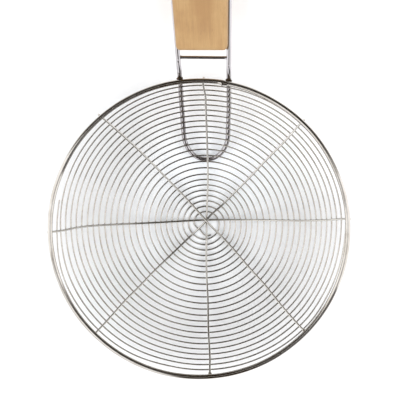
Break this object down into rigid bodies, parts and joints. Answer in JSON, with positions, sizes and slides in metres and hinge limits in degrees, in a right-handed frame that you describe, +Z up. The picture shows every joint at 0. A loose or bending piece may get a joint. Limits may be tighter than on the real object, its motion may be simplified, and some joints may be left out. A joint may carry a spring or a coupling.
{
  "type": "spider skimmer",
  "caption": "Round shallow skimmer bowl of spirally wound steel wire on crossed spokes inside a heavy rim, carried by a wire frame that runs back along a flat wooden grip.",
  "frame": {"origin": "on the axis of the rim, on the surface that the bowl stands on when the rim is level", "axes": "+Y from the bowl towards the grip's end, +Z up out of the open bowl along the rim's axis, +X to the right seen from above"},
  "size_m": [0.2013, 0.396, 0.0387],
  "materials": {
    "rim_steel": "bright drawn stainless wire, lightly polished",
    "frame_steel": "bright drawn stainless wire, lightly polished, browned by heat at the welds",
    "spoke_steel": "bright drawn stainless wire",
    "net_steel": "bright drawn stainless wire",
    "grip_wood": "pale fine-grained hardwood, sanded and thinly lacquered"
  },
  "bodies": {
    "root": {"rim_ring": "rim_steel", "handle_frame": "frame_steel", "cross_bar": "frame_steel", "spiral_net": "net_steel", "handle_grip": "grip_wood", "spoke_wire_1": "spoke_steel", "spoke_wire_2": "spoke_steel", "spoke_wire_3": "spoke_steel", "spoke_wire_4": "spoke_steel"}
  },
  "joints": []
}
